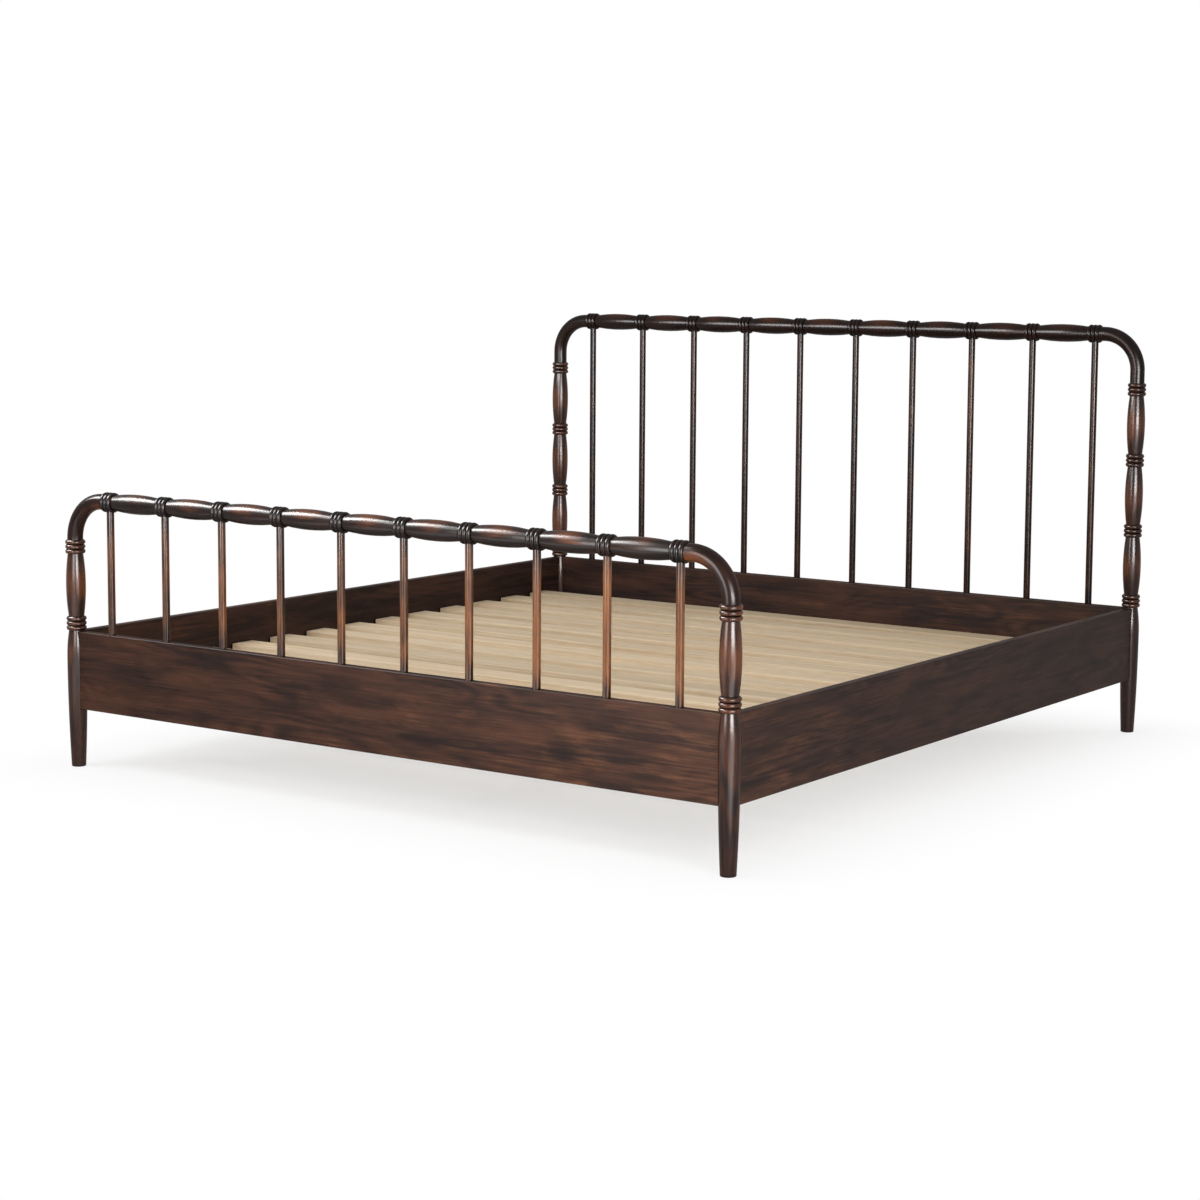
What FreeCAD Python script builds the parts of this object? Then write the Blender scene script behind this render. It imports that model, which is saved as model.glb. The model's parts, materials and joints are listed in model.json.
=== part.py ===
import FreeCAD
import Part
import math
import os

# A king-size spindle bed frame: turned posts, bent corner elbows, beaded top rails, spindles, boards and slats.
# Millimetres, +Z up. The origin is on the floor under the middle of the bed. The footboard is at -Y, the
# headboard at +Y, and left is -X.

# Posts, axis to axis
post_spacing_across = 2000.0
post_spacing_along = 2090.0

# Boards: the panels of the headboard and the footboard, and the side rails
board_thickness = 24.0
board_height = 202.0
floor_to_board = 152.0
board_edge_radius = 2.5
housing_core = 14.5

# Collars and barrels of the turned posts and top rails
bead_diameter = 51.0
bead_pitch = 12.0
bead_depth = 4.5
beads_per_collar = 3
neck_diameter = 39.0
barrel_diameter = 50.0
post_barrel_length = 162.0
foot_post_barrels = 1
head_post_barrels = 3
collar_above_board = 2.0

# Legs below the lowest collar
foot_diameter = 36.5
foot_edge_radius = 2.0
leg_crest_diameter = 50.0
leg_crest_height = 285.0

# Elbows from the posts to the top rails
elbow_diameter = 40.0
bend_radius = 100.0
elbow_rail_run = 12.0
foot_elbow_post_run = 3.0
head_elbow_post_run = 34.5

# Spindles
spindle_count = 10
spindle_diameter = 19.0
spindle_rail_depth = 17.0
spindle_tenon_diameter = 12.0
spindle_tenon_length = 20.0

# Loose dowels in the elbow joints and the panel ends
dowel_diameter = 12.0
dowel_length = 44.0
dowel_chamfer = 1.0
panel_dowel_spacing = 110.0
panel_dowel_post_depth = 12.0

# Slats and the ledges that carry them
slat_count = 13
slat_width = 80.0
slat_thickness = 19.0
slat_edge_radius = 3.0
slat_end_gap = 4.0
slat_end_margin = 5.0
deck_below_board_top = 100.0
ledge_thickness = 25.0
ledge_height = 40.0
ledge_edge_radius = 2.0
ledge_end_from_post = 96.0

# Centre beam and its hangers
beam_width = 38.0
beam_height = 65.0
beam_edge_radius = 2.0
beam_end_gap = 0.5
hanger_thickness = 2.5
hanger_depth = 40.0
hanger_height = 48.0
hanger_ear_width = 28.0
hanger_side_gap = 0.5
hanger_screw_spacing = 26.0

# Centre legs
centre_leg_width = 44.0
centre_leg_edge_radius = 4.0
centre_leg_offset_share = 1 / 6
leg_bolt_length = 50.0
leg_bolt_leg_depth = 30.0

# Screw levellers under the centre legs
leveller_base_diameter = 34.0
leveller_base_height = 8.0
leveller_base_edge_radius = 2.0
leveller_hex_across = 13.0
leveller_hex_height = 6.0
leveller_stem_length = 30.0
leveller_pivot_diameter = 6.0
leveller_pivot_length = 5.0
leveller_thrust_gap = 0.1
leveller_stop_gap = 0.3

# Corner plates between the panels and the side rails
plate_thickness = 3.0
plate_height = 60.0
plate_flange = 52.0
plate_web_from_post = 38.0
plate_above_board = 15.0
plate_bend_radius = 2.0
plate_bolt_spacing = 32.0

# Machine bolts and threaded inserts
bolt_diameter = 8.0
bolt_length = 15.0
bolt_head_diameter = 14.0
bolt_head_height = 4.2
bolt_socket_across = 5.0
bolt_socket_depth = 2.4
insert_diameter = 12.0
insert_length = 13.0

# Wood screws
ledge_screw_count = 8
ledge_screw_diameter = 5.0
ledge_screw_length = 40.0
slat_screw_diameter = 4.0
slat_screw_length = 32.0
countersink_share = 2.0
screw_point_share = 1.5
hanger_screw_diameter = 5.0
hanger_screw_length = 18.0
hanger_screw_head_diameter = 9.5
hanger_screw_head_height = 3.0

# Fits
joint_clearance = 0.1
running_clearance = 0.06
bolt_hole_clearance = 0.5
overrun = 5.0

# Radii
bead_radius = bead_diameter / 2
groove_radius = bead_radius - bead_depth
neck_radius = neck_diameter / 2
barrel_radius = barrel_diameter / 2
foot_radius = foot_diameter / 2
leg_crest_radius = leg_crest_diameter / 2
elbow_radius = elbow_diameter / 2
spindle_radius = spindle_diameter / 2
spindle_tenon_radius = spindle_tenon_diameter / 2
dowel_radius = dowel_diameter / 2
bolt_radius = bolt_diameter / 2
insert_radius = insert_diameter / 2

# Places that several pieces share
post_x = post_spacing_across / 2
post_y = post_spacing_along / 2
board_top = floor_to_board + board_height
board_middle = floor_to_board + board_height / 2
inner_x = post_x - board_thickness / 2
inner_y = post_y - board_thickness / 2
collar_length = beads_per_collar * bead_pitch
collar_base = board_top + collar_above_board
foot_post_top = collar_base + collar_length + foot_post_barrels * (post_barrel_length + collar_length)
head_post_top = collar_base + collar_length + head_post_barrels * (post_barrel_length + collar_length)
foot_rail_height = foot_post_top + foot_elbow_post_run + bend_radius
head_rail_height = head_post_top + head_elbow_post_run + bend_radius
rail_half = post_x - bend_radius - elbow_rail_run
spindle_spacing = 2 * (rail_half - collar_length / 2) / (spindle_count - 1)
rail_barrel_length = spindle_spacing - collar_length
spindle_places = [collar_length / 2 - rail_half + k * spindle_spacing for k in range(spindle_count)]
deck_height = board_top - deck_below_board_top
slat_underside = deck_height - slat_thickness
slat_half_length = inner_x - slat_end_gap
ledge_half_length = post_y - ledge_end_from_post
slat_first = slat_width / 2 + slat_end_margin - ledge_half_length
slat_places = [slat_first * (1 - 2 * k / (slat_count - 1)) for k in range(slat_count)]
beam_bottom = slat_underside - beam_height
centre_leg_bottom = leveller_base_height + leveller_thrust_gap + leveller_hex_height + leveller_stop_gap
centre_leg_places = {"foot": -centre_leg_offset_share * post_spacing_along,
                     "head": centre_leg_offset_share * post_spacing_along}
plate_bottom = floor_to_board + plate_above_board

sides = {"left": -1, "right": 1}
ends = {"foot": -1, "head": 1}
post_barrels = {"foot": foot_post_barrels, "head": head_post_barrels}
post_tops = {"foot": foot_post_top, "head": head_post_top}
elbow_post_runs = {"foot": foot_elbow_post_run, "head": head_elbow_post_run}
rail_heights = {"foot": foot_rail_height, "head": head_rail_height}

along_x = FreeCAD.Vector(1, 0, 0)
along_y = FreeCAD.Vector(0, 1, 0)
up = FreeCAD.Vector(0, 0, 1)
centre = FreeCAD.Vector(0, 0, 0)
full_turn = 360
quarter_turn = 90
seam_turn = 225
round_edge_share = 1 - math.sqrt(0.5)
same_point = 1e-6


# Shared operations

def point(x, y, z):
    return FreeCAD.Vector(x, y, z)


def one_solid(shape):
    """The only solid of a result. A change of size that splits a piece stops here."""
    if len(shape.Solids) != 1:
        raise ValueError(f"{len(shape.Solids)} solids where the piece is one")
    return shape.Solids[0]


def turned(outline):
    """Revolves an outline about Z. It runs up the outside in steps of (radius, height) points.

    A step of one point is a straight run to it, and a step of two is an arc through the first to the second.
    """
    corners = [[point(radius, 0, height) for radius, height in step] for step in outline]
    first, last = corners[0][-1], corners[-1][-1]
    runs = [[point(0, 0, first.z), first]]
    for before, step in zip(corners, corners[1:]):
        runs.append([before[-1]] + step)
    runs += [[last, point(0, 0, last.z)], [point(0, 0, last.z), point(0, 0, first.z)]]
    edges = []
    for run in runs:
        if len(run) > 2:
            edges.append(Part.Arc(*run).toShape())
        elif not run[0].isEqual(run[1], same_point):
            edges.append(Part.LineSegment(*run).toShape())
    return Part.Face(Part.Wire(edges)).revolve(centre, up, full_turn)


def crest_arc(end_radius, end_height, crest_radius, crest_height):
    """The middle point of an arc that stands upright at its crest and runs to an end."""
    drop = crest_radius - end_radius
    rise = end_height - crest_height
    arc_radius = (drop ** 2 + rise ** 2) / (2 * drop)
    half_angle = math.asin(rise / arc_radius) / 2
    return (crest_radius - arc_radius * (1 - math.cos(half_angle)),
            crest_height + arc_radius * math.sin(half_angle))


def eased_bar(length, width, height, radius, direction):
    """A bar of X length, Y width and Z height, centred on the origin, with its edges along one direction rounded."""
    corner = point(-length / 2, -width / 2, -height / 2)
    bar = Part.makeBox(length, width, height, corner)
    edges = [edge for edge in bar.Edges if edge.tangentAt(edge.FirstParameter).isParallel(direction, same_point)]
    return bar.makeFillet(radius, edges)


def drilled(mouth, direction, radius, depth):
    """The tool for a blind round hole. It starts outside the mouth so that the cut is clean."""
    return Part.makeCylinder(radius, depth + overrun, mouth - direction * overrun, direction)


def driven(shape, mouth, direction):
    """A fastener drawn along -Z from its seat at the origin, moved to a mouth and pointed in a direction."""
    copy = shape.copy()
    move = FreeCAD.Placement(mouth, FreeCAD.Rotation(up * -1, direction))
    copy.Placement = move.multiply(copy.Placement)
    return copy


def hexagon(across, height, base):
    corner = across / math.sqrt(3)
    turns = [k * math.pi / 3 for k in range(7)]
    outline = [point(corner * math.cos(turn), corner * math.sin(turn), base) for turn in turns]
    return Part.Face(Part.makePolygon(outline)).extrude(up * height)


# Turned work

def collar(base):
    """Outline of a collar of half-round beads, up from the groove at its base."""
    steps = [[(groove_radius, base)]]
    for bead in range(beads_per_collar):
        low = base + bead * bead_pitch
        steps.append([(bead_radius, low + bead_pitch / 2), (groove_radius, low + bead_pitch)])
    return steps


def barrel(base, length):
    """Outline of a barrel, swelling from neck to crest and back."""
    return [[(neck_radius, base)], [(barrel_radius, base + length / 2), (neck_radius, base + length)]]


def leg():
    """Outline of a leg: a rounded foot, a long taper to the crest and a short one in to the neck."""
    taper = crest_arc(foot_radius, foot_edge_radius, leg_crest_radius, leg_crest_height)
    shoulder = crest_arc(neck_radius, collar_base, leg_crest_radius, leg_crest_height)
    cut_in = foot_edge_radius * round_edge_share
    edge = (foot_radius - cut_in, cut_in)
    return [[(foot_radius - foot_edge_radius, 0)],
            [edge, (foot_radius, foot_edge_radius)],
            [taper, (leg_crest_radius, leg_crest_height)],
            [shoulder, (neck_radius, collar_base)]]


def post(side, end):
    outline = leg() + collar(collar_base)
    base = collar_base + collar_length
    for _ in range(post_barrels[end]):
        outline += barrel(base, post_barrel_length) + collar(base + post_barrel_length)
        base += post_barrel_length + collar_length
    solid = turned(outline)
    solid.rotate(centre, up, seam_turn)
    solid.translate(point(sides[side] * post_x, ends[end] * post_y, 0))
    tools = [panel_blank(end, joint_clearance), side_rail_blank(side, joint_clearance)]
    tools += [dowel_hole(*place) for place in dowel_places(side, end)]
    return one_solid(solid.cut(tools))


def elbow(side, end):
    """A quarter bend from the top of a post round to the end of a top rail."""
    x, y, top = sides[side] * post_x, ends[end] * post_y, post_tops[end]
    bend_centre = point(x - sides[side] * bend_radius, y, top + elbow_post_runs[end])
    outward = along_x * sides[side]
    start = point(x, y, top)
    bend_start = bend_centre + outward * bend_radius
    bend_middle = bend_centre + (outward + up).normalize() * bend_radius
    bend_end = bend_centre + up * bend_radius
    finish = bend_end - outward * elbow_rail_run
    path = Part.Wire([Part.LineSegment(start, bend_start).toShape(),
                      Part.Arc(bend_start, bend_middle, bend_end).toShape(),
                      Part.LineSegment(bend_end, finish).toShape()])
    section = Part.Face(Part.Wire(Part.makeCircle(elbow_radius, start, up)))
    return one_solid(path.makePipe(section).cut([dowel_hole(*place) for place in elbow_dowel_places(side, end)]))


def top_rail(end):
    outline = collar(-rail_half)
    for place in spindle_places[1:]:
        base = place - collar_length / 2
        outline += barrel(base - rail_barrel_length, rail_barrel_length) + collar(base)
    solid = turned(outline)
    solid.rotate(centre, up, quarter_turn)
    solid.rotate(centre, along_y, quarter_turn)
    y, height = ends[end] * post_y, rail_heights[end]
    solid.translate(point(0, y, height))
    tools = [drilled(point(x, y, height - bead_radius), up, spindle_radius + joint_clearance,
                     spindle_rail_depth + joint_clearance) for x in spindle_places]
    tools += [dowel_hole(*elbow_dowel_places(side, end)[1]) for side in sides]
    return one_solid(solid.cut(tools))


def spindle(end, x):
    """A plain round spindle that stands on the panel by a tenon and enters a collar of the top rail."""
    length = rail_heights[end] - bead_radius + spindle_rail_depth - board_top
    solid = turned([[(spindle_tenon_radius, -spindle_tenon_length)],
                    [(spindle_tenon_radius, 0)],
                    [(spindle_radius, 0)],
                    [(spindle_radius, length)]])
    return solid.translated(point(x, ends[end] * post_y, board_top))


# Boards

def panel_blank(end, clearance):
    bar = eased_bar(2 * (post_x - housing_core - joint_clearance + clearance), board_thickness + 2 * clearance,
                    board_height + 2 * clearance, board_edge_radius + clearance, along_x)
    return bar.translated(point(0, ends[end] * post_y, board_middle))


def side_rail_blank(side, clearance):
    bar = eased_bar(board_thickness + 2 * clearance, 2 * (post_y - housing_core - joint_clearance + clearance),
                    board_height + 2 * clearance, board_edge_radius + clearance, along_y)
    return bar.translated(point(sides[side] * post_x, 0, board_middle))


def panel(end):
    y = ends[end] * post_y
    tools = [drilled(point(x, y, board_top), up * -1, spindle_tenon_radius + joint_clearance,
                     spindle_tenon_length + joint_clearance) for x in spindle_places]
    tools += [dowel_hole(*place) for side in sides for place in panel_dowel_places(side, end)]
    tools += [insert_hole(*place) for side in sides for place in plate_bolt_places(side, end)["panel"]]
    tools += [driven(hanger_screw(joint_clearance), *place) for place in hanger_screw_places(end)]
    return one_solid(panel_blank(end, 0).cut(tools))


def side_rail(side):
    tools = [insert_hole(*place) for end in ends for place in plate_bolt_places(side, end)["rail"]]
    tools += [driven(ledge_screw(joint_clearance), *place) for place in ledge_screw_places(side)]
    return one_solid(side_rail_blank(side, 0).cut(tools))


# Dowels

def panel_dowel_places(side, end):
    """Where each dowel of a panel's end starts, inside the post, and the way it points."""
    x = sides[side] * (post_x - housing_core + panel_dowel_post_depth)
    heights = [board_middle - panel_dowel_spacing / 2, board_middle + panel_dowel_spacing / 2]
    return [(point(x, ends[end] * post_y, height), along_x * -sides[side]) for height in heights]


def elbow_dowel_places(side, end):
    """The dowel from the post up into an elbow, and the one from the elbow into the top rail."""
    y = ends[end] * post_y
    rail_end = sides[side] * (rail_half + dowel_length / 2)
    return [(point(sides[side] * post_x, y, post_tops[end] - dowel_length / 2), up),
            (point(rail_end, y, rail_heights[end]), along_x * -sides[side])]


def dowel_places(side, end):
    return panel_dowel_places(side, end) + elbow_dowel_places(side, end)


def dowel_hole(start, direction):
    begin = start - direction * joint_clearance
    return Part.makeCylinder(dowel_radius + joint_clearance, dowel_length + 2 * joint_clearance, begin, direction)


def wood_dowels():
    dowel = turned([[(dowel_radius - dowel_chamfer, -dowel_length)],
                    [(dowel_radius, dowel_chamfer - dowel_length)],
                    [(dowel_radius, -dowel_chamfer)],
                    [(dowel_radius - dowel_chamfer, 0)]])
    return Part.makeCompound([driven(dowel, *place) for side in sides for end in ends
                              for place in dowel_places(side, end)])


# Slatted base

def slat_ledge(side):
    length = 2 * ledge_half_length
    bar = eased_bar(ledge_thickness, length, ledge_height, ledge_edge_radius, along_y)
    bar.translate(point(sides[side] * (inner_x - ledge_thickness / 2), 0, slat_underside - ledge_height / 2))
    tools = [driven(ledge_screw(joint_clearance), *place) for place in ledge_screw_places(side)]
    tools += [driven(slat_screw(joint_clearance), *place) for place in slat_screw_places(side)]
    return one_solid(bar.cut(tools))


def bed_slats():
    bar = eased_bar(2 * slat_half_length, slat_width, slat_thickness, slat_edge_radius, along_x)
    slats = []
    for number, y in enumerate(slat_places):
        tools = [driven(slat_screw(joint_clearance), *slat_screw_places(side)[number]) for side in sides]
        slats.append(one_solid(bar.translated(point(0, y, deck_height - slat_thickness / 2)).cut(tools)))
    return Part.makeCompound(slats)


def centre_beam():
    bar = eased_bar(beam_width, 2 * (inner_y - beam_end_gap), beam_height, beam_edge_radius, along_y)
    bar.translate(point(0, 0, slat_underside - beam_height / 2))
    tools = []
    for y in centre_leg_places.values():
        mouth = point(0, y, beam_bottom)
        tools.append(insert_hole(mouth, up))
        tools.append(drilled(mouth, up, bolt_radius + bolt_hole_clearance, leg_bolt_length - leg_bolt_leg_depth
                             + bolt_hole_clearance))
    return one_solid(bar.cut(tools))


def beam_hanger(end):
    """A folded steel hanger: a seat and two sides for the beam's end, with an ear each side on the panel."""
    inward = along_y * -ends[end]
    wall = ends[end] * inner_y
    half = beam_width / 2 + hanger_side_gap
    outer = half + hanger_thickness
    seat = beam_bottom - hanger_thickness
    top = seat + hanger_height
    corners = [(-outer, top), (-outer, seat), (outer, seat), (outer, top), (half, top), (half, beam_bottom),
               (-half, beam_bottom), (-half, top)]
    outline = [point(x, wall, z) for x, z in corners + corners[:1]]
    cradle = Part.Face(Part.makePolygon(outline)).extrude(inward * hanger_depth)
    ears = []
    for sign in sides.values():
        edges = [(half, seat), (outer + hanger_ear_width, seat), (outer + hanger_ear_width, top), (half, top)]
        outline = [point(sign * x, wall, z) for x, z in edges + edges[:1]]
        ears.append(Part.Face(Part.makePolygon(outline)).extrude(inward * hanger_thickness))
    tools = [driven(hanger_screw(joint_clearance), *place) for place in hanger_screw_places(end)]
    return one_solid(cradle.fuse(ears).removeSplitter().cut(tools))


def centre_leg(end):
    height = beam_bottom - centre_leg_bottom
    bar = eased_bar(centre_leg_width, centre_leg_width, height, centre_leg_edge_radius, up)
    y = centre_leg_places[end]
    bar.translate(point(0, y, centre_leg_bottom + height / 2))
    foot = point(0, y, centre_leg_bottom)
    tools = [insert_hole(foot, up),
             drilled(foot, up, bolt_radius + bolt_hole_clearance, leveller_stem_length + bolt_hole_clearance),
             drilled(point(0, y, beam_bottom), up * -1, bolt_radius + joint_clearance,
                     leg_bolt_leg_depth + joint_clearance)]
    return one_solid(bar.cut(tools))


def leg_bolts():
    return Part.makeCompound([Part.makeCylinder(bolt_radius, leg_bolt_length,
                                                point(0, y, beam_bottom - leg_bolt_leg_depth), up)
                              for y in centre_leg_places.values()])


# Screw levellers

def leveller_base(end):
    """A round foot with a bore in its top, in which the stem's pivot turns."""
    radius = leveller_base_diameter / 2
    cut_in = leveller_base_edge_radius * round_edge_share
    solid = turned([[(radius, 0)],
                    [(radius, leveller_base_height - leveller_base_edge_radius)],
                    [(radius - cut_in, leveller_base_height - cut_in),
                     (radius - leveller_base_edge_radius, leveller_base_height)]])
    bore = drilled(up * leveller_base_height, up * -1, leveller_pivot_diameter / 2 + running_clearance,
                   leveller_pivot_length)
    return one_solid(solid.cut(bore)).translated(point(0, centre_leg_places[end], 0))


def leveller_stem(end):
    """A bolt with its hexagon just over the foot, a pivot below it and a stem up into the leg's insert."""
    hex_bottom = leveller_base_height + leveller_thrust_gap
    hex_top = hex_bottom + leveller_hex_height
    pivot = Part.makeCylinder(leveller_pivot_diameter / 2, leveller_pivot_length,
                              up * (hex_bottom - leveller_pivot_length))
    stem = Part.makeCylinder(bolt_radius, leveller_stem_length, up * hex_top)
    solid = hexagon(leveller_hex_across, leveller_hex_height, hex_bottom).fuse([pivot, stem])
    return one_solid(solid).translated(point(0, centre_leg_places[end], 0))


# Corner plates

def corner_point(side, end, from_post_x, from_post_y, height):
    """A point given by its distances from a post's axis towards the middle of the bed."""
    return point(sides[side] * (post_x - from_post_x), ends[end] * (post_y - from_post_y), height)


def plate_bolt_places(side, end):
    """The mouths of a corner plate's bolts on the panel's and the side rail's inner faces, and their directions."""
    across = plate_web_from_post + plate_flange / 2
    face = board_thickness / 2
    middle = plate_bottom + plate_height / 2
    heights = [middle - plate_bolt_spacing / 2, middle + plate_bolt_spacing / 2]
    return {"panel": [(corner_point(side, end, across, face, height), along_y * ends[end]) for height in heights],
            "rail": [(corner_point(side, end, face, across, height), along_x * sides[side]) for height in heights]}


def corner_plate(side, end):
    """A steel strip bent twice, flat on the panel and on the side rail, with a web that clears the post between."""
    face = board_thickness / 2
    tip = plate_web_from_post + plate_flange
    bend = plate_web_from_post
    inner_face = face + plate_thickness
    inner_bend = bend + plate_thickness * math.tan(math.pi / 8)
    half = [(tip, face), (bend, face), (inner_bend, inner_face), (tip, inner_face)]
    corners = half[:2] + [(y, x) for x, y in half[1::-1]] + [(y, x) for x, y in half[:1:-1]] + half[2:]
    outline = [corner_point(side, end, x, y, plate_bottom) for x, y in corners + corners[:1]]
    strip = Part.Face(Part.makePolygon(outline)).extrude(up * plate_height)
    bends = {plate_bend_radius + plate_thickness: [(bend, face), (face, bend)],
             plate_bend_radius: [(inner_bend, inner_face), (inner_face, inner_bend)]}
    for radius, places in bends.items():
        feet = [corner_point(side, end, x, y, plate_bottom) for x, y in places]
        edges = [edge for edge in strip.Edges if edge.tangentAt(edge.FirstParameter).isParallel(up, same_point)
                 and any(edge.distToShape(Part.Vertex(foot))[0] < same_point for foot in feet)]
        strip = strip.makeFillet(radius, edges)
    places = plate_bolt_places(side, end)
    tools = [drilled(mouth - direction * plate_thickness, direction, bolt_radius + bolt_hole_clearance,
                     plate_thickness + overrun) for mouth, direction in places["panel"] + places["rail"]]
    return one_solid(strip.cut(tools))


# Fasteners

def corner_bolts():
    """Button-head bolts that hold the corner plates, drawn from the seat under the head."""
    crown = crest_arc(0, bolt_head_height, bolt_head_diameter / 2, 0)
    head = turned([[(bolt_radius, -bolt_length)],
                   [(bolt_radius, 0)],
                   [(bolt_head_diameter / 2, 0)],
                   [crown, (0, bolt_head_height)]])
    socket = hexagon(bolt_socket_across, bolt_socket_depth, bolt_head_height - bolt_socket_depth)
    bolt = one_solid(head.cut(socket))
    bolts = []
    for side in sides:
        for end in ends:
            places = plate_bolt_places(side, end)
            for mouth, direction in places["panel"] + places["rail"]:
                bolts.append(driven(bolt, mouth - direction * plate_thickness, direction))
    return Part.makeCompound(bolts)


def insert_hole(mouth, direction):
    return drilled(mouth, direction, insert_radius + joint_clearance, insert_length)


def threaded_inserts():
    tube = Part.makeCylinder(insert_radius, insert_length, up * -insert_length)
    bore = drilled(up * -insert_length, up, bolt_radius + running_clearance, insert_length + overrun)
    insert = one_solid(tube.cut(bore))
    places = []
    for side in sides:
        for end in ends:
            bolts = plate_bolt_places(side, end)
            places += bolts["panel"] + bolts["rail"]
    for y in centre_leg_places.values():
        places += [(point(0, y, beam_bottom), up), (point(0, y, centre_leg_bottom), up)]
    return Part.makeCompound([driven(insert, *place) for place in places])


def countersunk_screw(diameter, length, clearance):
    """A wood screw with a flush head, drawn down from the middle of its head. The clearance makes it a hole."""
    shank = diameter / 2 + clearance
    head = diameter / 2 * countersink_share + clearance
    point_length = diameter * screw_point_share
    return turned([[(0, -length - clearance)],
                   [(shank, point_length - length - clearance)],
                   [(shank, shank - head)],
                   [(head, 0)]])


def ledge_screw(clearance):
    return countersunk_screw(ledge_screw_diameter, ledge_screw_length, clearance)


def slat_screw(clearance):
    return countersunk_screw(slat_screw_diameter, slat_screw_length, clearance)


def hanger_screw(clearance):
    """A pan-head wood screw, drawn down from the seat under its head. The clearance makes it a hole."""
    shank = hanger_screw_diameter / 2 + clearance
    head = hanger_screw_head_diameter / 2 + clearance
    point_length = hanger_screw_diameter * screw_point_share
    return turned([[(0, -hanger_screw_length - clearance)],
                   [(shank, point_length - hanger_screw_length - clearance)],
                   [(shank, 0)],
                   [(head, 0)],
                   [(head, hanger_screw_head_height / 2)],
                   [(shank, hanger_screw_head_height)]])


def ledge_screw_places(side):
    pitch = 2 * ledge_half_length / ledge_screw_count
    x = sides[side] * (inner_x - ledge_thickness)
    height = slat_underside - ledge_height / 2
    return [(point(x, (k + 0.5) * pitch - ledge_half_length, height), along_x * sides[side])
            for k in range(ledge_screw_count)]


def slat_screw_places(side):
    """One screw in each end of each slat, over the middle of its bearing on the ledge."""
    x = sides[side] * (slat_half_length + inner_x - ledge_thickness) / 2
    return [(point(x, y, deck_height), up * -1) for y in slat_places]


def hanger_screw_places(end):
    x = beam_width / 2 + hanger_side_gap + hanger_thickness + hanger_ear_width / 2
    y = ends[end] * (inner_y - hanger_thickness)
    middle = beam_bottom - hanger_thickness + hanger_height / 2
    return [(point(sign * x, y, middle + step * hanger_screw_spacing / 2), along_y * ends[end])
            for sign in sides.values() for step in (-1, 1)]


def screws(screw, places):
    return Part.makeCompound([driven(screw(0), *place) for place in places])


# The whole frame

pieces = {}
for end in ends:
    for side in sides:
        pieces[f"{end}_post_{side}"] = post(side, end)
        pieces[f"{end}_elbow_{side}"] = elbow(side, end)
        pieces[f"corner_plate_{end}_{side}"] = corner_plate(side, end)
    pieces[f"{end}_top_rail"] = top_rail(end)
    pieces[f"{end}_panel"] = panel(end)
    for number, x in enumerate(spindle_places, 1):
        pieces[f"{end}_spindle_{number:02d}"] = spindle(end, x)
    pieces[f"beam_hanger_{end}"] = beam_hanger(end)
    pieces[f"centre_leg_{end}"] = centre_leg(end)
    pieces[f"leveller_base_{end}"] = leveller_base(end)
    pieces[f"leveller_stem_{end}"] = leveller_stem(end)
for side in sides:
    pieces[f"side_rail_{side}"] = side_rail(side)
    pieces[f"slat_ledge_{side}"] = slat_ledge(side)
pieces["centre_beam"] = centre_beam()
pieces["bed_slats"] = bed_slats()
pieces["wood_dowels"] = wood_dowels()
pieces["corner_bolts"] = corner_bolts()
pieces["threaded_inserts"] = threaded_inserts()
pieces["leg_bolts"] = leg_bolts()
pieces["ledge_screws"] = screws(ledge_screw, [place for side in sides for place in ledge_screw_places(side)])
pieces["slat_screws"] = screws(slat_screw, [place for side in sides for place in slat_screw_places(side)])
pieces["hanger_screws"] = screws(hanger_screw, [place for end in ends for place in hanger_screw_places(end)])

os.makedirs("parts", exist_ok=True)
for name, shape in pieces.items():
    shape.exportStep(f"parts/{name}.step")
print(len(pieces), "pieces")
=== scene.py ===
import json
import math
from collections import namedtuple

import bpy
from mathutils import Matrix, Vector


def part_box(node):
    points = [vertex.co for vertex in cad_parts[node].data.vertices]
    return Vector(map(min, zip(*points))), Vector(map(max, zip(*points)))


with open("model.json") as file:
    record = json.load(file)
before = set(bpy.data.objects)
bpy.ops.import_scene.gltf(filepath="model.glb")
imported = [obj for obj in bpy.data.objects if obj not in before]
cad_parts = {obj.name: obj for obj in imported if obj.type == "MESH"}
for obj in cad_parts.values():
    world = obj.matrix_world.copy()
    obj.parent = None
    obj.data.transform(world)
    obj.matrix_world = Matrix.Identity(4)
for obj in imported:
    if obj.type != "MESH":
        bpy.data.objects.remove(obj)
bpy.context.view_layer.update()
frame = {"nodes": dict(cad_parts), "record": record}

nodes = frame["nodes"]
ends = ("foot", "head")
sides = ("left", "right")
white = (1, 1, 1, 1)

# Camera: place in metres, angles in degrees, lens and sensor in millimetres, shift as a share of the picture
camera_place = (3.8483, -5.5078, 1.3106)
camera_azimuth = 34.199
camera_elevation = 6.309
camera_roll = 0.486
camera_lens = 75.43
camera_sensor = 36.0
camera_shift = (-0.05, -0.05)

# Lamps that light surfaces but don't show in gloss: place, point aimed at, width, height and radiance
matte_lamps = {
    "key_softbox": ((-1.7, -2.5, 3.05), (0.0, -1.0, 0.65), 1.7, 1.7, 5.9),
    "low_softbox": ((-1.2, -3.2, 1.8), (0.3, 1.0, 1.1), 2.0, 0.7, 1.7),
    "right_softbox": ((2.0, -1.55, 0.7), (0.9, -0.6, 0.5), 0.6, 1.4, 4.0),
    "front_softbox": ((0.85, -3.1, 0.7), (0.6, -1.0, 0.5), 1.6, 1.4, 3.6),
    "back_softbox": ((0.6, 4.4, 1.6), (0.0, 1.0, 0.6), 3.0, 2.0, 2.6),
}
ambient_level = 0.4

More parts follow.
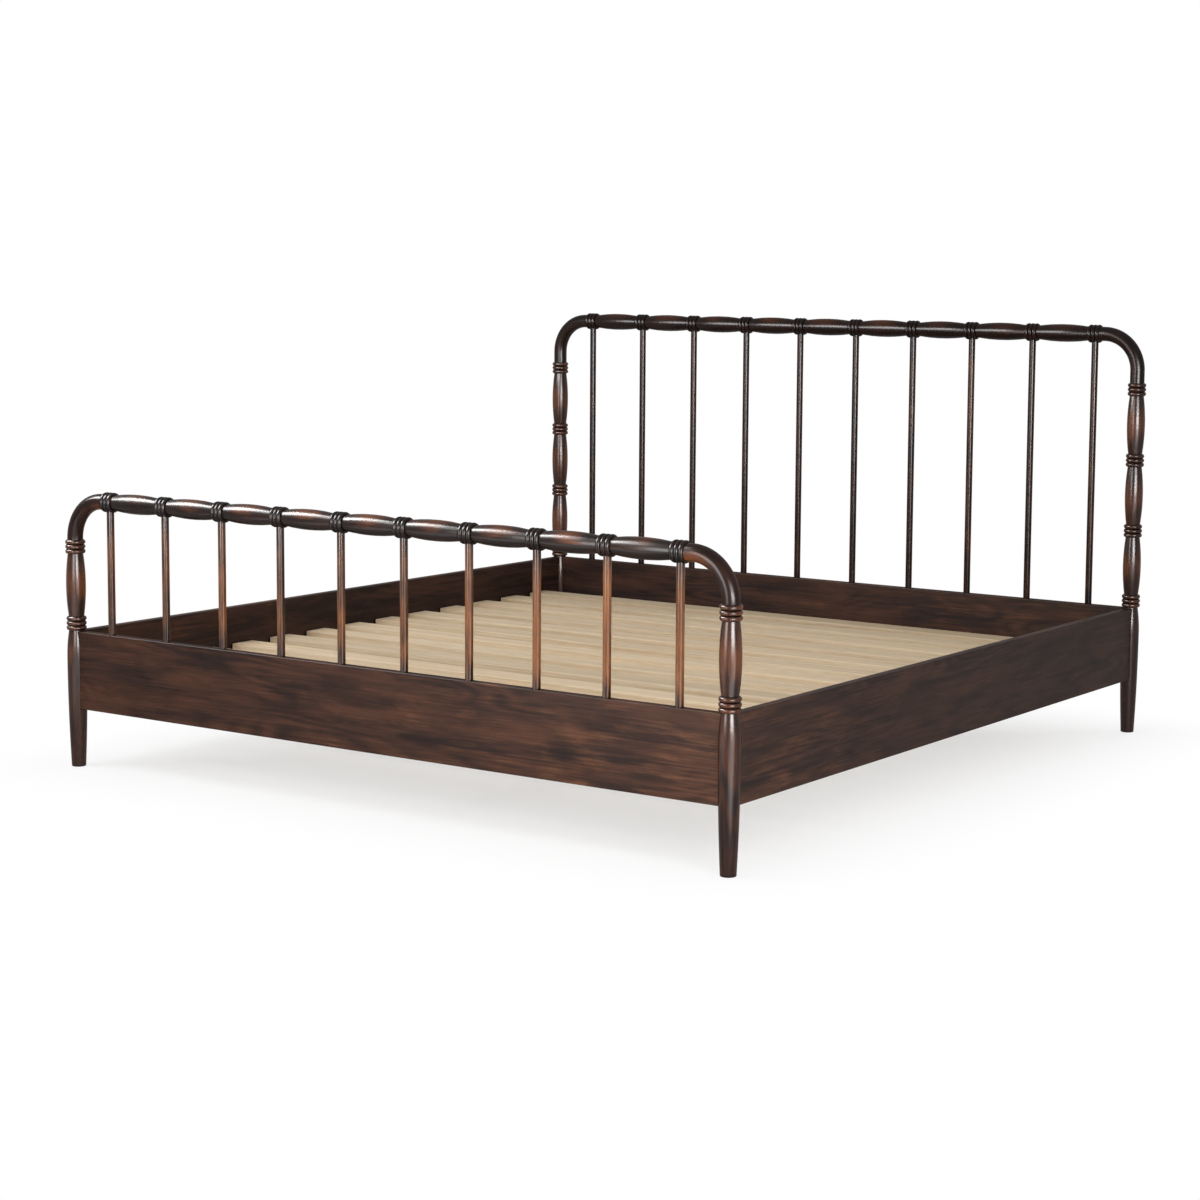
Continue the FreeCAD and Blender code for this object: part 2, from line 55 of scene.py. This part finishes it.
# Panels that show only in gloss, given in the same way. The two glows lie on the floor
gloss_panels = {
    "key_panel": ((-2.84, -2.36, 3.05), (-1.94, -4.46, 1.1), 2.5, 2.5, 80.0),
    "key_corner": ((-1.3, -2.88, 2.53), (0.5, -1.05, 0.7), 0.9, 0.6, 26.0),
    "head_panel": ((-0.95, -0.8, 1.55), (-0.95, 1.045, 1.2), 1.8, 0.66, 40.0),
    "front_panel": ((0.0, -3.4, 0.95), (0.0, -1.0, 0.6), 1.2, 1.3, 22.0),
    "right_panel": ((6.0, -4.5, 0.8), (0.5, -0.6, 0.5), 3.6, 1.2, 64.0),
    "right_upper": ((6.0, -4.5, 2.2), (0.5, -0.6, 0.5), 3.6, 1.6, 20.0),
    "right_glow": ((2.9, -1.8, 0.004), (2.9, -1.8, 1.0), 3.2, 1.0, 6.5),
    "left_glow": ((-0.55, -2.5, 0.004), (-0.55, -2.5, 1.0), 1.6, 1.5, 3.0),
}

# Floor: its shadow fades to white between two distances from the outline of the posts, negative inside it
floor_half = 30.0
floor_drop = 0.0004
floor_colour = (0.9, 0.9, 0.9, 1)
floor_white_under = 0.53
floor_fade_start = -0.45
floor_fade_end = 0.36

# Turned work and slats: their sizes in metres, and how many slats there are
bend_radius = 0.1
post_collar_height = 0.374
post_barrel_pitch = 0.198
slat_count = 13
slat_width = 0.08

# Sizes read from the frame, in metres
post_low, post_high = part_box("foot_post_right")
post_radius = (post_high.x - post_low.x) / 2
post_x = (post_low.x + post_high.x) / 2
post_y = -(post_low.y + post_high.y) / 2
spindle_middles = [sum(corner.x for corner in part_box(f"foot_spindle_{number:02d}")) / 2 for number in (1, 2)]
first_spindle = spindle_middles[0]
spindle_pitch = spindle_middles[1] - spindle_middles[0]
slats_low, slats_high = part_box("bed_slats")
first_slat = slats_low.y + slat_width / 2
slat_pitch = (slats_high.y - slats_low.y - slat_width) / (slat_count - 1)


def rail_height(end):
    low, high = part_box(f"{end}_top_rail")
    return (low.z + high.z) / 2


# Features of noise: length along the grain and width across it in metres, detail and distortion
Feature = namedtuple("Feature", "length width detail distortion", defaults=(0.0,))

# The span in which most noise lies, and the middle of its three colours
noise_span = (0.2, 0.8)
noise_middle = (0.5, 0.5, 0.5)

# The step between the grains of two pieces, and how finely the painted shade in grooves and beside joints is
# sampled
piece_step = (13.7, 7.3, 5.1)
groove_shade_samples = 8


class Finish:
    """One material, built node by node."""

    def __init__(self, name):
        self.material = bpy.data.materials.new(name)
        self.material.use_nodes = True
        self.tree = self.material.node_tree
        self.shader = self.tree.nodes["Principled BSDF"]

    def feed(self, socket, value):
        """Link a node or one of its outputs to a socket, or set a plain value there."""
        if isinstance(value, bpy.types.Node):
            value = value.outputs[0]
        if isinstance(value, bpy.types.NodeSocket):
            self.tree.links.new(value, socket)
        else:
            socket.default_value = value

    def add(self, kind, inputs, **settings):
        item = self.tree.nodes.new(kind)
        for name, value in settings.items():
            setattr(item, name, value)
        for key, value in inputs.items():
            self.feed(item.inputs[key], value)
        return item

    def set(self, **values):
        """Feed the shader's sockets, in whose names _ stands for a space."""
        for name, value in values.items():
            self.feed(self.shader.inputs[name.replace("_", " ")], value)

    def math(self, operation, first, second=0.0, third=0.0):
        return self.add("ShaderNodeMath", {0: first, 1: second, 2: third}, operation=operation)

    def times(self, first, second):
        return self.math("MULTIPLY", first, second)

    def minus(self, first, second):
        return self.math("SUBTRACT", first, second)

    def weighted(self, first, *others):
        """The sum of pairs of values, each pair multiplied."""
        total = self.times(*first)
        for value, weight in others:
            total = self.math("MULTIPLY_ADD", value, weight, total)
        return total

    def length(self, first, second):
        squares = [self.math("POWER", value, 2.0) for value in (first, second)]
        return self.math("SQRT", self.math("ADD", *squares))

    def ranged(self, value, low, high, to_low=0.0, to_high=1.0):
        inputs = {"Value": value, "From Min": low, "From Max": high, "To Min": to_low, "To Max": to_high}
        return self.add("ShaderNodeMapRange", inputs, interpolation_type="SMOOTHSTEP")

    def mix(self, share, first, second):
        """Two colours mixed. They go into this node's sockets 6 and 7 and come out of its socket 2."""
        return self.add("ShaderNodeMix", {0: share, 6: first, 7: second}, data_type="RGBA").outputs[2]

    def vector(self, operation, first, second):
        return self.add("ShaderNodeVectorMath", {0: first, 1: second}, operation=operation)

    def scaled(self, vector, level):
        return self.add("ShaderNodeVectorMath", {0: vector, "Scale": level}, operation="SCALE")

    def split(self, vector):
        return self.add("ShaderNodeSeparateXYZ", {0: vector}).outputs

    def join(self, x, y, z):
        return self.add("ShaderNodeCombineXYZ", {0: x, 1: y, 2: z})

    def place(self):
        """The place on the object along x, y and z."""
        return self.split(self.object_place())

    def object_place(self):
        return self.add("ShaderNodeTexCoord", {}).outputs["Object"]

    def piece_number(self):
        """A number from 0 to 1 that differs from piece to piece."""
        return self.add("ShaderNodeObjectInfo", {}).outputs["Random"]

    def noise(self, space, feature, size=1.0):
        """Smooth noise with these features, stretched along the first direction of the space."""
        length, width, detail, distortion = feature
        across = 1 / (size * width)
        stretched = self.vector("MULTIPLY", space, (1 / (size * length), across, across))
        inputs = {"Vector": stretched, "Scale": 1.0, "Detail": detail, "Distortion": distortion}
        return self.add("ShaderNodeTexNoise", inputs)

    def spread(self, noise, to_low, to_high):
        """Noise brought from the span in which most of it lies to another one."""
        return self.ranged(noise, *noise_span, to_low, to_high)

    def groove_shade(self, distance, low, high):
        """Painted shade: 1 on open surfaces, less in grooves and beside joints, where shade falls."""
        shade = self.add("ShaderNodeAmbientOcclusion", {"Distance": distance}, samples=groove_shade_samples)
        return self.ranged(shade.outputs["AO"], low, high)

    def bump(self, strength, depth, height):
        return self.add("ShaderNodeBump", {"Strength": strength, "Distance": depth, "Height": height})


def shifted(finish, space):
    """The same space, moved by a different step for each piece."""
    return finish.vector("ADD", space, finish.scaled(piece_step, finish.piece_number()))


def straight_grain(finish, axis):
    """Metres along the grain, then across it twice."""
    x, y, z = finish.place()
    along = {"x": (x, z, y), "y": (y, z, x), "z": (z, x, y)}[axis]
    return shifted(finish, finish.join(*along))


def bent_grain(finish, end):
    """Metres round an elbow's bend, out from its centre and sideways, then the angle and the second alone."""
    x, y, z = finish.place()
    across = finish.minus(finish.math("ABSOLUTE", x), post_x - bend_radius)
    up = finish.minus(z, rail_height(end) - bend_radius)
    angle = finish.math("ARCTAN2", up, across)
    along = finish.times(angle, bend_radius)
    out = finish.length(across, up)
    return shifted(finish, finish.join(along, out, y)), angle, out


def waved(finish, space, wave, step):
    """The same space with the grain drifting sideways in slow waves."""
    drift = finish.vector("SUBTRACT", finish.noise(space, wave).outputs["Color"], noise_middle)
    return finish.vector("ADD", space, finish.vector("MULTIPLY", drift, (0.0, step, step)))


def turned_normal(finish, axis, centre):
    """The normal of a turned piece, made exactly round about its axis, which is 0, 1 or 2 for x, y or z."""
    place = finish.place()
    normal = finish.split(finish.add("ShaderNodeTexCoord", {}).outputs["Normal"])
    around = [number for number in range(3) if number != axis]
    middles = [finish.times(finish.math("SIGN", place[number]), centre[number]) for number in around]
    arms = [finish.minus(place[number], middle) for number, middle in zip(around, middles)]
    spread = finish.math("SQRT", finish.minus(1.0, finish.math("POWER", normal[axis], 2.0)))
    scale = finish.math("DIVIDE", spread, finish.length(*arms))
    parts = [normal[axis]] * 3
    for number, arm in zip(around, arms):
        parts[number] = finish.times(arm, scale)
    return finish.add("ShaderNodeVectorTransform", {0: finish.join(*parts)}, vector_type="NORMAL",
                      convert_from="OBJECT", convert_to="WORLD")


class Stain:
    """Colours from dark to the warm one of rubbed wear and painted light, the size of their blotches, and the
    lacquer over them.
    """

    def __init__(self, dark, brown, warm, blotch, lacquer, rough, bump):
        self.dark = (*dark, 1)
        self.brown = (*brown, 1)
        self.warm = (*warm, 1)
        self.blotch = blotch
        self.lacquer = lacquer
        self.rough = rough
        self.bump = bump


panel_stain = Stain(
    dark=(0.018, 0.0090, 0.0072), brown=(0.064, 0.0262, 0.0152), warm=(0.15, 0.061, 0.029),
    blotch=1.4, lacquer=0.15, rough=0.45, bump=0.1)
side_stain = Stain(
    dark=(0.018, 0.0085, 0.0062), brown=(0.053, 0.0235, 0.0150), warm=(0.11, 0.044, 0.024),
    blotch=1.4, lacquer=0.27, rough=0.45, bump=0.1)
post_stain = Stain(
    dark=(0.011, 0.0045, 0.0033), brown=(0.052, 0.0170, 0.0080), warm=(0.13, 0.042, 0.016),
    blotch=0.8, lacquer=0.4, rough=0.23, bump=0.03)
elbow_stain = Stain(
    dark=(0.005, 0.0023, 0.0017), brown=(0.026, 0.0088, 0.0048), warm=(0.15, 0.045, 0.014),
    blotch=0.5, lacquer=0.26, rough=0.24, bump=0.03)
rail_stains = {
    "foot": Stain(
        dark=(0.005, 0.0024, 0.0018), brown=(0.017, 0.0062, 0.0038), warm=(0.14, 0.043, 0.015),
        blotch=0.8, lacquer=0.34, rough=0.28, bump=0.03),
    "head": Stain(
        dark=(0.007, 0.0032, 0.0023), brown=(0.022, 0.0074, 0.0043), warm=(0.08, 0.024, 0.0095),
        blotch=0.8, lacquer=0.24, rough=0.25, bump=0.03),
}
spindle_stains = {
    "foot": Stain(
        dark=(0.008, 0.0028, 0.0013), brown=(0.060, 0.0190, 0.0066), warm=(0.22, 0.075, 0.0205),
        blotch=0.6, lacquer=0.55, rough=0.16, bump=0.03),
    "head": Stain(
        dark=(0.008, 0.0031, 0.0017), brown=(0.036, 0.0130, 0.0060), warm=(0.12, 0.042, 0.0145),
        blotch=0.6, lacquer=0.24, rough=0.2, bump=0.03),
}

# Features of stained wood, of which the first three grow with a stain's blotches
patch_noise = Feature(0.22, 0.03, 4.0, 0.4)
streak_noise = Feature(0.132, 0.0042, 4.0)
line_noise = Feature(0.066, 0.0018, 3.0)
fibre_noise = Feature(0.05, 0.0011, 2.0)
pore_noise = Feature(0.014, 0.0006, 1.0)
ring_noise = Feature(0.6, 0.1, 1.0)
figure_noise = Feature(0.4, 0.12, 0.0)
worn_noise = Feature(0.12, 0.03, 3.0, 0.3)
smoke_noise = Feature(0.16, 0.05, 3.0, 0.6)
stain_wave = Feature(0.6, 0.15, 1.0)
stain_drift = 0.015

# How these features add up. A range gives the low and high value that count, and what they become
patch_share = 0.6
streak_share = 0.25
line_share = 0.15
ring_rate = 75.0
figure_range = (0.48, 0.66, 0.0, 0.06)
tone_range = (0.34, 0.66)
worn_share = 0.7
worn_streak_share = 0.4
wear_and_light_weight = 0.4
warm_range = (0.67, 1.1)
smoke_range = (0.3, 0.55, 0.68, 1.06)
fibre_levels = (0.8, 1.2)
pore_range = (0.62, 0.74)
pore_shade = -0.4
pore_height = -0.5
# Painted shade in grooves and beside joints: how far it reaches in metres, and the span over which it darkens
# the colour
stain_groove_shade_size = 0.012
stain_groove_shade_range = (0.3, 0.9)
stain_bump_depth = 0.0002
stain_rough = 0.5


def stained_wood(finish, stain, space, wear_and_light):
    """Dark stain under satin lacquer. The last argument, from 0 to 1, says where the stain turns warm and
    lighter: rubbed wear, and on the panels and the rails' upper side painted light.
    """
    grain = waved(finish, space, stain_wave, stain_drift)
    patches = finish.noise(grain, patch_noise, stain.blotch)
    streaks = finish.noise(grain, streak_noise, stain.blotch)
    lines = finish.noise(grain, line_noise, stain.blotch)
    figure = finish.math("SINE", finish.times(finish.noise(space, ring_noise), ring_rate))
    figured = finish.ranged(finish.noise(space, figure_noise), *figure_range)
    tone = finish.weighted((streaks, streak_share), (patches, patch_share), (lines, line_share),
                           (figure, figured))
    colour = finish.mix(finish.ranged(tone, *tone_range), stain.dark, stain.brown)
    warm_mix = finish.noise(grain, worn_noise)
    # The warm colour follows wear and, on the panels and the rails' upper side, painted light
    warm_mix = finish.weighted((streaks, worn_streak_share), (warm_mix, worn_share), (wear_and_light, wear_and_light_weight))
    colour = finish.mix(finish.ranged(warm_mix, *warm_range), colour, stain.warm)
    smoke = finish.ranged(finish.noise(space, smoke_noise), *smoke_range)
    fibres = finish.spread(finish.noise(grain, fibre_noise), *fibre_levels)
    pores = finish.ranged(finish.noise(grain, pore_noise), *pore_range)
    level = finish.times(smoke, fibres)
    level = finish.times(level, finish.math("MULTIPLY_ADD", pores, pore_shade, 1.0))
    # Painted shade: the colour darkened in grooves and beside joints
    level = finish.times(level, finish.groove_shade(stain_groove_shade_size, *stain_groove_shade_range))
    height = finish.math("MULTIPLY_ADD", pores, pore_height, streaks)
    finish.set(Base_Color=finish.scaled(colour, level), Specular_IOR_Level=0.0, Roughness=stain_rough,
               Normal=finish.bump(stain.bump, stain_bump_depth, height),
               Coat_Weight=stain.lacquer, Coat_Roughness=stain.rough)
    return finish.material


# Lighter, warmer places on boards, how much at both ends: on the panels this is painted light, lighter towards
# the right end where more light falls; the side rails are warmer towards the foot
panel_light_levels = (0.0, 0.45)
side_warmth = (0.4, 0.0)


def panel_wood():
    """Painted light: lighter and warmer from the left end to the right end, where more light falls."""
    finish = Finish("stained_panel")
    # Painted light: the warm colour grows towards the right end, where more light falls
    wear_and_light = finish.ranged(finish.place()["X"], -post_x, post_x, *panel_light_levels)
    return stained_wood(finish, panel_stain, straight_grain(finish, "x"), wear_and_light)


def side_wood():
    """Warmer and lighter towards the foot."""
    finish = Finish("stained_side")
    wear_and_light = finish.ranged(finish.place()["Y"], -post_y, post_y, *side_warmth)
    return stained_wood(finish, side_stain, straight_grain(finish, "y"), wear_and_light)


# Rubbed places on turned work, and painted light on the rails' upper side: heights in metres, radii as shares
# of the posts' radius, and how much
leg_rub_start = 0.22
leg_rub_end = 0.36
crest_start = 0.86
crest_full = 0.98
crest_swells = (0.14, 0.08)
crest_rubs = (0.0, 0.7)
# Painted light on the rails: lighter and warmer on their upper side, where the light falls from above
rail_light_bottom = -0.6
rail_light_top = 0.8
rail_light_levels = (0.1, 1.0)


def belly(finish, place, first_collar, pitch):
    """0 at the collars of a turned piece and 1 half way between them."""
    turn = finish.times(finish.minus(place, first_collar), 2 * math.pi / pitch)
    return finish.math("MULTIPLY_ADD", finish.math("COSINE", turn), -0.5, 0.5)


def post_wood():
    """Rubbed on the bellies of the barrels and on the crests of the beads."""
    finish = Finish("stained_post")
    finish.set(Coat_Normal=turned_normal(finish, 2, (post_x, post_y, 0.0)))
    x, y, z = finish.place()
    swell = belly(finish, z, post_collar_height, post_barrel_pitch)
    across = finish.minus(finish.math("ABSOLUTE", x), post_x)
    along = finish.minus(finish.math("ABSOLUTE", y), post_y)
    crest = finish.ranged(finish.length(across, along), crest_start * post_radius, crest_full * post_radius)
    collar = finish.times(crest, finish.ranged(swell, *crest_swells, *crest_rubs))
    above_leg = finish.ranged(z, leg_rub_start, leg_rub_end)
    wear_and_light = finish.times(finish.math("MAXIMUM", swell, collar), above_leg)
    return stained_wood(finish, post_stain, straight_grain(finish, "z"), wear_and_light)


def rail_wood(end):
    """Rubbed on the barrels, with painted light making their upper side lighter and warmer, where the light
    falls from above.
    """
    finish = Finish(f"stained_{end}_rail")
    middle = rail_height(end)
    finish.set(Coat_Normal=turned_normal(finish, 0, (0.0, post_y, middle)))
    place = finish.place()
    bottom = middle + rail_light_bottom * post_radius
    top = middle + rail_light_top * post_radius
    # Painted light: more of the warm colour on the upper side, where the light falls from above
    upper = finish.ranged(place["Z"], bottom, top, *rail_light_levels)
    wear_and_light = finish.times(belly(finish, place["X"], first_spindle, spindle_pitch), upper)
    return stained_wood(finish, rail_stains[end], straight_grain(finish, "x"), wear_and_light)


# Rubbed places on elbows: angles up from the post, radii as shares of the posts' radius, and how much
elbow_rub_start = 0.6
elbow_rub_full = 1.5
elbow_rub_outer = 0.9
elbow_rub_inner = -0.6
elbow_rubs = {"foot": (0.2, 0.85), "head": (0.2, 0.5)}


def elbow_wood(end):
    """Rubbed on the inner side of the bend, most beside the rail."""
    finish = Finish(f"stained_{end}_elbow")
    space, angle, out = bent_grain(finish, end)
    outer = bend_radius + elbow_rub_outer * post_radius
    inner = bend_radius + elbow_rub_inner * post_radius
    beside_rail = finish.ranged(angle, elbow_rub_start, elbow_rub_full, *elbow_rubs[end])
    wear_and_light = finish.times(beside_rail, finish.ranged(out, outer, inner))
    return stained_wood(finish, elbow_stain, space, wear_and_light)


# Warmer places on spindles: how much from left to right, and lengths from a spindle's ends in metres
spindle_warmth = {"foot": (0.6, 0.9), "head": (0.2, 0.4)}
spindle_variety = 0.2
spindle_dark_start = 0.02
spindle_dark_end = 0.09
spindle_end_rubs = (0.5, 1.0)


def spindle_wood(end):
    """Warmer and lighter from left to right, less at the ends, and each spindle a little differently."""
    finish = Finish(f"stained_{end}_spindle")
    place = finish.place()
    across = finish.ranged(place["X"], -post_x, post_x, *spindle_warmth[end])
    wear_and_light = finish.math("MULTIPLY_ADD", finish.piece_number(), spindle_variety, across)
    low, high = (corner.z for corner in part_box(f"{end}_spindle_01"))
    from_end = finish.math("MINIMUM", finish.minus(place["Z"], low), finish.minus(high, place["Z"]))
    wear_and_light = finish.times(wear_and_light, finish.ranged(from_end, spindle_dark_start, spindle_dark_end, *spindle_end_rubs))
    return stained_wood(finish, spindle_stains[end], straight_grain(finish, "z"), wear_and_light)


# Planed wood: its colours, its features and how they add up
pale_dark = (0.62, 0.46, 0.29, 1)
pale_light = (0.78, 0.63, 0.44, 1)
pale_band_noise = Feature(0.9, 0.012, 3.0)
pale_streak_noise = Feature(0.5, 0.003, 3.0)
pale_fibre_noise = Feature(0.06, 0.0011, 2.0)
pale_wave = Feature(0.7, 0.2, 1.0)
pale_drift = 0.02
pale_band_share = 0.6
pale_streak_share = 0.4
pale_tone_range = (0.3, 0.7)
pale_fibre_levels = (0.94, 1.06)
# Painted shade in grooves and beside joints: how far it reaches in metres, and the span over which it darkens
# the colour
pale_groove_shade_size = 0.012
pale_groove_shade_range = (0.1, 0.8)
pale_specular = 0.1
pale_rough = (0.55, 0.7)
pale_bump = 0.2
pale_bump_depth = 0.0002
slat_step = 9.0
slat_shades = (0.88, 1.06)


def pale_wood(finish, space, shade):
    """Planed wood without stain. shade lightens or darkens a whole board."""
    grain = waved(finish, space, pale_wave, pale_drift)
    bands = finish.noise(grain, pale_band_noise)
    streaks = finish.noise(grain, pale_streak_noise)
    fibres = finish.noise(grain, pale_fibre_noise)
    tone = finish.weighted((streaks, pale_streak_share), (bands, pale_band_share))
    colour = finish.mix(finish.ranged(tone, *pale_tone_range), pale_dark, pale_light)
    level = finish.times(finish.spread(fibres, *pale_fibre_levels), shade)
    # Painted shade: the colour darkened in grooves and beside joints
    level = finish.times(level, finish.groove_shade(pale_groove_shade_size, *pale_groove_shade_range))
    finish.set(Base_Color=finish.scaled(colour, level), Specular_IOR_Level=pale_specular,
               Roughness=finish.spread(streaks, *pale_rough),
               Normal=finish.bump(pale_bump, pale_bump_depth, fibres))
    return finish.material


def plain_wood(axis):
    finish = Finish(f"plain_wood_{axis}")
    return pale_wood(finish, straight_grain(finish, axis), 1.0)


def slat_wood():
    """All slats are one piece, so the place across it tells which board a point is on."""
    finish = Finish("plain_slats")
    x, y, z = finish.place()
    number = finish.math("ROUND", finish.math("DIVIDE", finish.minus(y, first_slat), slat_pitch))
    board = finish.add("ShaderNodeTexWhiteNoise", {"W": number}, noise_dimensions="1D").outputs
    space = finish.vector("ADD", finish.join(x, z, y), finish.scaled(board["Color"], slat_step))
    return pale_wood(finish, space, finish.ranged(board["Value"], 0.0, 1.0, *slat_shades))


# Steel and plastic: two colours in soft clouds, and a fine grain
steel_dark = (0.50, 0.50, 0.48, 1)
steel_light = (0.68, 0.68, 0.67, 1)
steel_cloud_noise = Feature(0.012, 0.012, 3.0)
steel_grain_noise = Feature(0.0007, 0.0007, 1.0)
steel_rough = (0.28, 0.42)
steel_bump = 0.15
plastic_dark = (0.022, 0.022, 0.023, 1)
plastic_light = (0.034, 0.034, 0.035, 1)
plastic_cloud_noise = Feature(0.01, 0.01, 2.0)
plastic_grain_noise = Feature(0.0009, 0.0009, 1.0)
plastic_rough = (0.5, 0.65)
plastic_bump = 0.3
fine_bump_depth = 0.0001


def steel():
    finish = Finish("zinc_steel")
    place = finish.object_place()
    cloud = finish.noise(place, steel_cloud_noise)
    grain = finish.noise(place, steel_grain_noise)
    finish.set(Base_Color=finish.mix(cloud, steel_dark, steel_light), Metallic=1.0,
               Roughness=finish.spread(cloud, *steel_rough),
               Normal=finish.bump(steel_bump, fine_bump_depth, grain))
    return finish.material


def black_plastic():
    finish = Finish("black_plastic")
    place = finish.object_place()
    cloud = finish.noise(place, plastic_cloud_noise)
    grain = finish.noise(place, plastic_grain_noise)
    finish.set(Base_Color=finish.mix(cloud, plastic_dark, plastic_light),
               Roughness=finish.spread(grain, *plastic_rough),
               Normal=finish.bump(plastic_bump, fine_bump_depth, grain))
    return finish.material


def dress(material, names):
    for name in names:
        nodes[name].data.materials.clear()
        nodes[name].data.materials.append(material)


def dress_all():
    dress(panel_wood(), [f"{end}_panel" for end in ends])
    dress(side_wood(), [f"side_rail_{side}" for side in sides])
    dress(post_wood(), [f"{end}_post_{side}" for end in ends for side in sides])
    for end in ends:
        dress(spindle_wood(end), [name for name in nodes if f"{end}_spindle_" in name])
        dress(rail_wood(end), [f"{end}_top_rail"])
        dress(elbow_wood(end), [f"{end}_elbow_{side}" for side in sides])
    dress(slat_wood(), ["bed_slats"])
    dress(plain_wood("x"), ["wood_dowels"])
    dress(plain_wood("y"), ["centre_beam"] + [f"slat_ledge_{side}" for side in sides])
    dress(plain_wood("z"), [f"centre_leg_{end}" for end in ends])
    slots = {row["node"]: row["material_slot"] for row in frame["record"]["subparts"]}
    dress(steel(), [name for name in nodes if slots[name] == "steel"])
    dress(black_plastic(), [name for name in nodes if slots[name] == "black_plastic"])


def seen_as_background(finish):
    """1 for the rays that show the background: seen by the camera, in gloss or through glass."""
    path = finish.add("ShaderNodeLightPath", {}).outputs
    glossy = finish.math("MAXIMUM", path["Is Glossy Ray"], path["Is Transmission Ray"])
    return finish.math("MAXIMUM", path["Is Camera Ray"], glossy)


def floor_material():
    finish = Finish("pale_floor")
    place = finish.split(finish.add("ShaderNodeNewGeometry", {}).outputs["Position"])
    beyond = [finish.minus(finish.math("ABSOLUTE", place[axis]), half)
              for axis, half in (("X", post_x), ("Y", post_y))]
    outside = finish.length(*(finish.math("MAXIMUM", value, 0.0) for value in beyond))
    inside = finish.math("MINIMUM", finish.math("MAXIMUM", *beyond), 0.0)
    distance = finish.math("ADD", outside, inside)
    faded = finish.ranged(distance, floor_fade_start, floor_fade_end, floor_white_under, 1.0)
    share = finish.times(faded, seen_as_background(finish))
    glow = finish.add("ShaderNodeEmission", {"Color": white, "Strength": 1.0})
    matte = finish.add("ShaderNodeBsdfDiffuse", {"Color": floor_colour})
    mixed = finish.add("ShaderNodeMixShader", {0: share, 1: matte, 2: glow})
    finish.feed(finish.tree.nodes["Material Output"].inputs["Surface"], mixed)
    finish.tree.nodes.remove(finish.shader)
    return finish.material


def make_floor():
    mesh = bpy.data.meshes.new("floor")
    corners = [(x * floor_half, y * floor_half, -floor_drop) for x, y in ((-1, -1), (1, -1), (1, 1), (-1, 1))]
    mesh.from_pydata(corners, [], [(0, 1, 2, 3)])
    mesh.materials.append(floor_material())
    floor = bpy.data.objects.new("floor", mesh)
    bpy.context.scene.collection.objects.link(floor)


class Sky(Finish):
    """The world's nodes, added with the same calls."""

    def __init__(self):
        self.world = bpy.data.worlds.new("studio")
        self.world.use_nodes = True
        self.tree = self.world.node_tree
        bpy.context.scene.world = self.world


def make_world():
    sky = Sky()
    background = sky.tree.nodes["Background"]
    sky.feed(background.inputs["Color"], white)
    shown = seen_as_background(sky)
    sky.feed(background.inputs["Strength"], sky.ranged(shown, 0.0, 1.0, ambient_level, 1.0))


def area_light(name, place, target, width, height, radiance):
    data = bpy.data.lights.new(name, "AREA")
    data.shape = "RECTANGLE"
    data.size = width
    data.size_y = height
    data.energy = radiance * math.pi * width * height
    light = bpy.data.objects.new(name, data)
    bpy.context.scene.collection.objects.link(light)
    light.location = place
    light.rotation_euler = (Vector(target) - Vector(place)).to_track_quat("-Z", "Y").to_euler()
    light.visible_camera = False
    return light


def make_lights():
    for name, values in matte_lamps.items():
        area_light(name, *values).visible_glossy = False
    for name, values in gloss_panels.items():
        area_light(name, *values).visible_diffuse = False


def make_camera():
    angles = (camera_azimuth, camera_elevation, camera_roll)
    azimuth, elevation, roll = (math.radians(angle) for angle in angles)
    right = Vector((math.cos(azimuth), math.sin(azimuth), 0))
    forward = Vector((-math.sin(azimuth) * math.cos(elevation), math.cos(azimuth) * math.cos(elevation),
                      -math.sin(elevation)))
    up = right.cross(forward)
    across = right * math.cos(roll) + up * math.sin(roll)
    upward = up * math.cos(roll) - right * math.sin(roll)
    data = bpy.data.cameras.new("camera")
    data.sensor_width = camera_sensor
    data.lens = camera_lens
    data.shift_x, data.shift_y = camera_shift
    camera = bpy.data.objects.new("camera", data)
    bpy.context.scene.collection.objects.link(camera)
    turn = Matrix((across, upward, -forward)).transposed()
    camera.matrix_world = Matrix.Translation(camera_place) @ turn.to_4x4()
    bpy.context.scene.camera = camera


dress_all()
make_floor()
make_world()
make_lights()
make_camera()
bpy.context.scene.view_settings.view_transform = "Standard"
